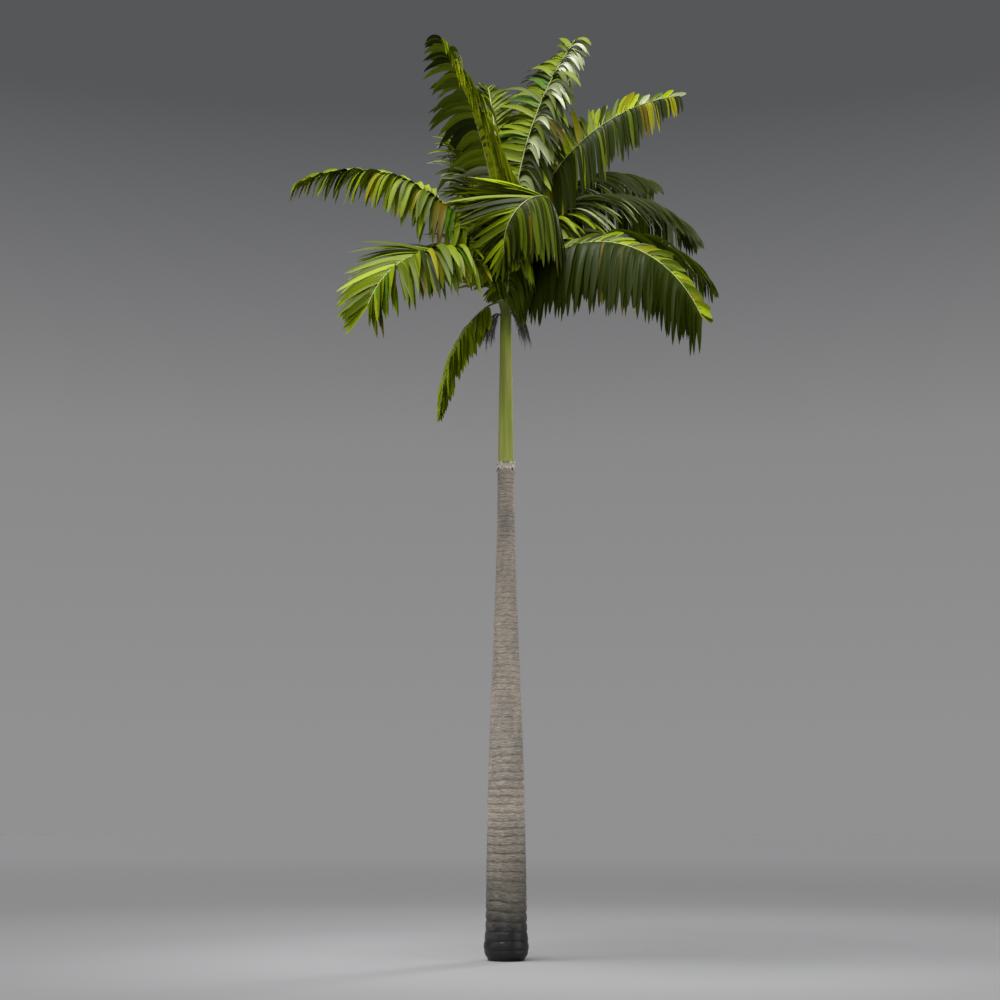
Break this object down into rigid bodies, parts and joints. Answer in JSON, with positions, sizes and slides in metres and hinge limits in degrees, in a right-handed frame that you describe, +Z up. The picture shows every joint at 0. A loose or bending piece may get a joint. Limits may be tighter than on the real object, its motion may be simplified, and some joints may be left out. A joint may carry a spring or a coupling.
{
  "type": "royal palm tree",
  "caption": "Rooted royal palm: a tapering ringed trunk, a smooth crownshaft and a full crown of arching feather fronds.",
  "frame": {"origin": "middle of the flat cut under the trunk, at ground level", "axes": "+Z up along the trunk, +X to the right and +Y to the back as the front view sees the palm"},
  "size_m": [5.8853, 4.4296, 12.8822],
  "materials": {
    "trunk": "grey bark with fine rings, matte",
    "collar": "dry papery fibre",
    "crownshaft": "smooth olive green sheath, satin",
    "frond": "green leaf, satin",
    "flower_stalk": "dry twigs, matte"
  },
  "bodies": {
    "root": {"collar": "collar", "crownshaft": "crownshaft", "flower_stalk_left": "flower_stalk", "flower_stalk_right": "flower_stalk", "frond_back_left_foot": "frond", "frond_back_left_tip": "frond", "frond_back_left_upright": "frond", "frond_back_right_foot": "frond", "frond_back_right_tip": "frond", "frond_back_upright": "frond", "frond_front_curled_foot": "frond", "frond_front_curled_tip": "frond", "frond_front_low": "frond", "frond_left_arching_foot": "frond", "frond_left_arching_tip": "frond", "frond_left_front_foot": "frond", "frond_left_front_tip": "frond", "frond_left_hanging": "frond", "frond_left_upright": "frond", "frond_right_front_foot": "frond", "frond_right_front_tip": "frond", "frond_right_high_foot": "frond", "frond_right_high_tip": "frond", "frond_right_low_foot": "frond", "frond_right_low_tip": "frond", "frond_right_middle_foot": "frond", "frond_right_middle_tip": "frond", "frond_right_upper_foot": "frond", "frond_right_upper_tip": "frond", "frond_right_upright": "frond", "trunk": "trunk"}
  },
  "joints": []
}
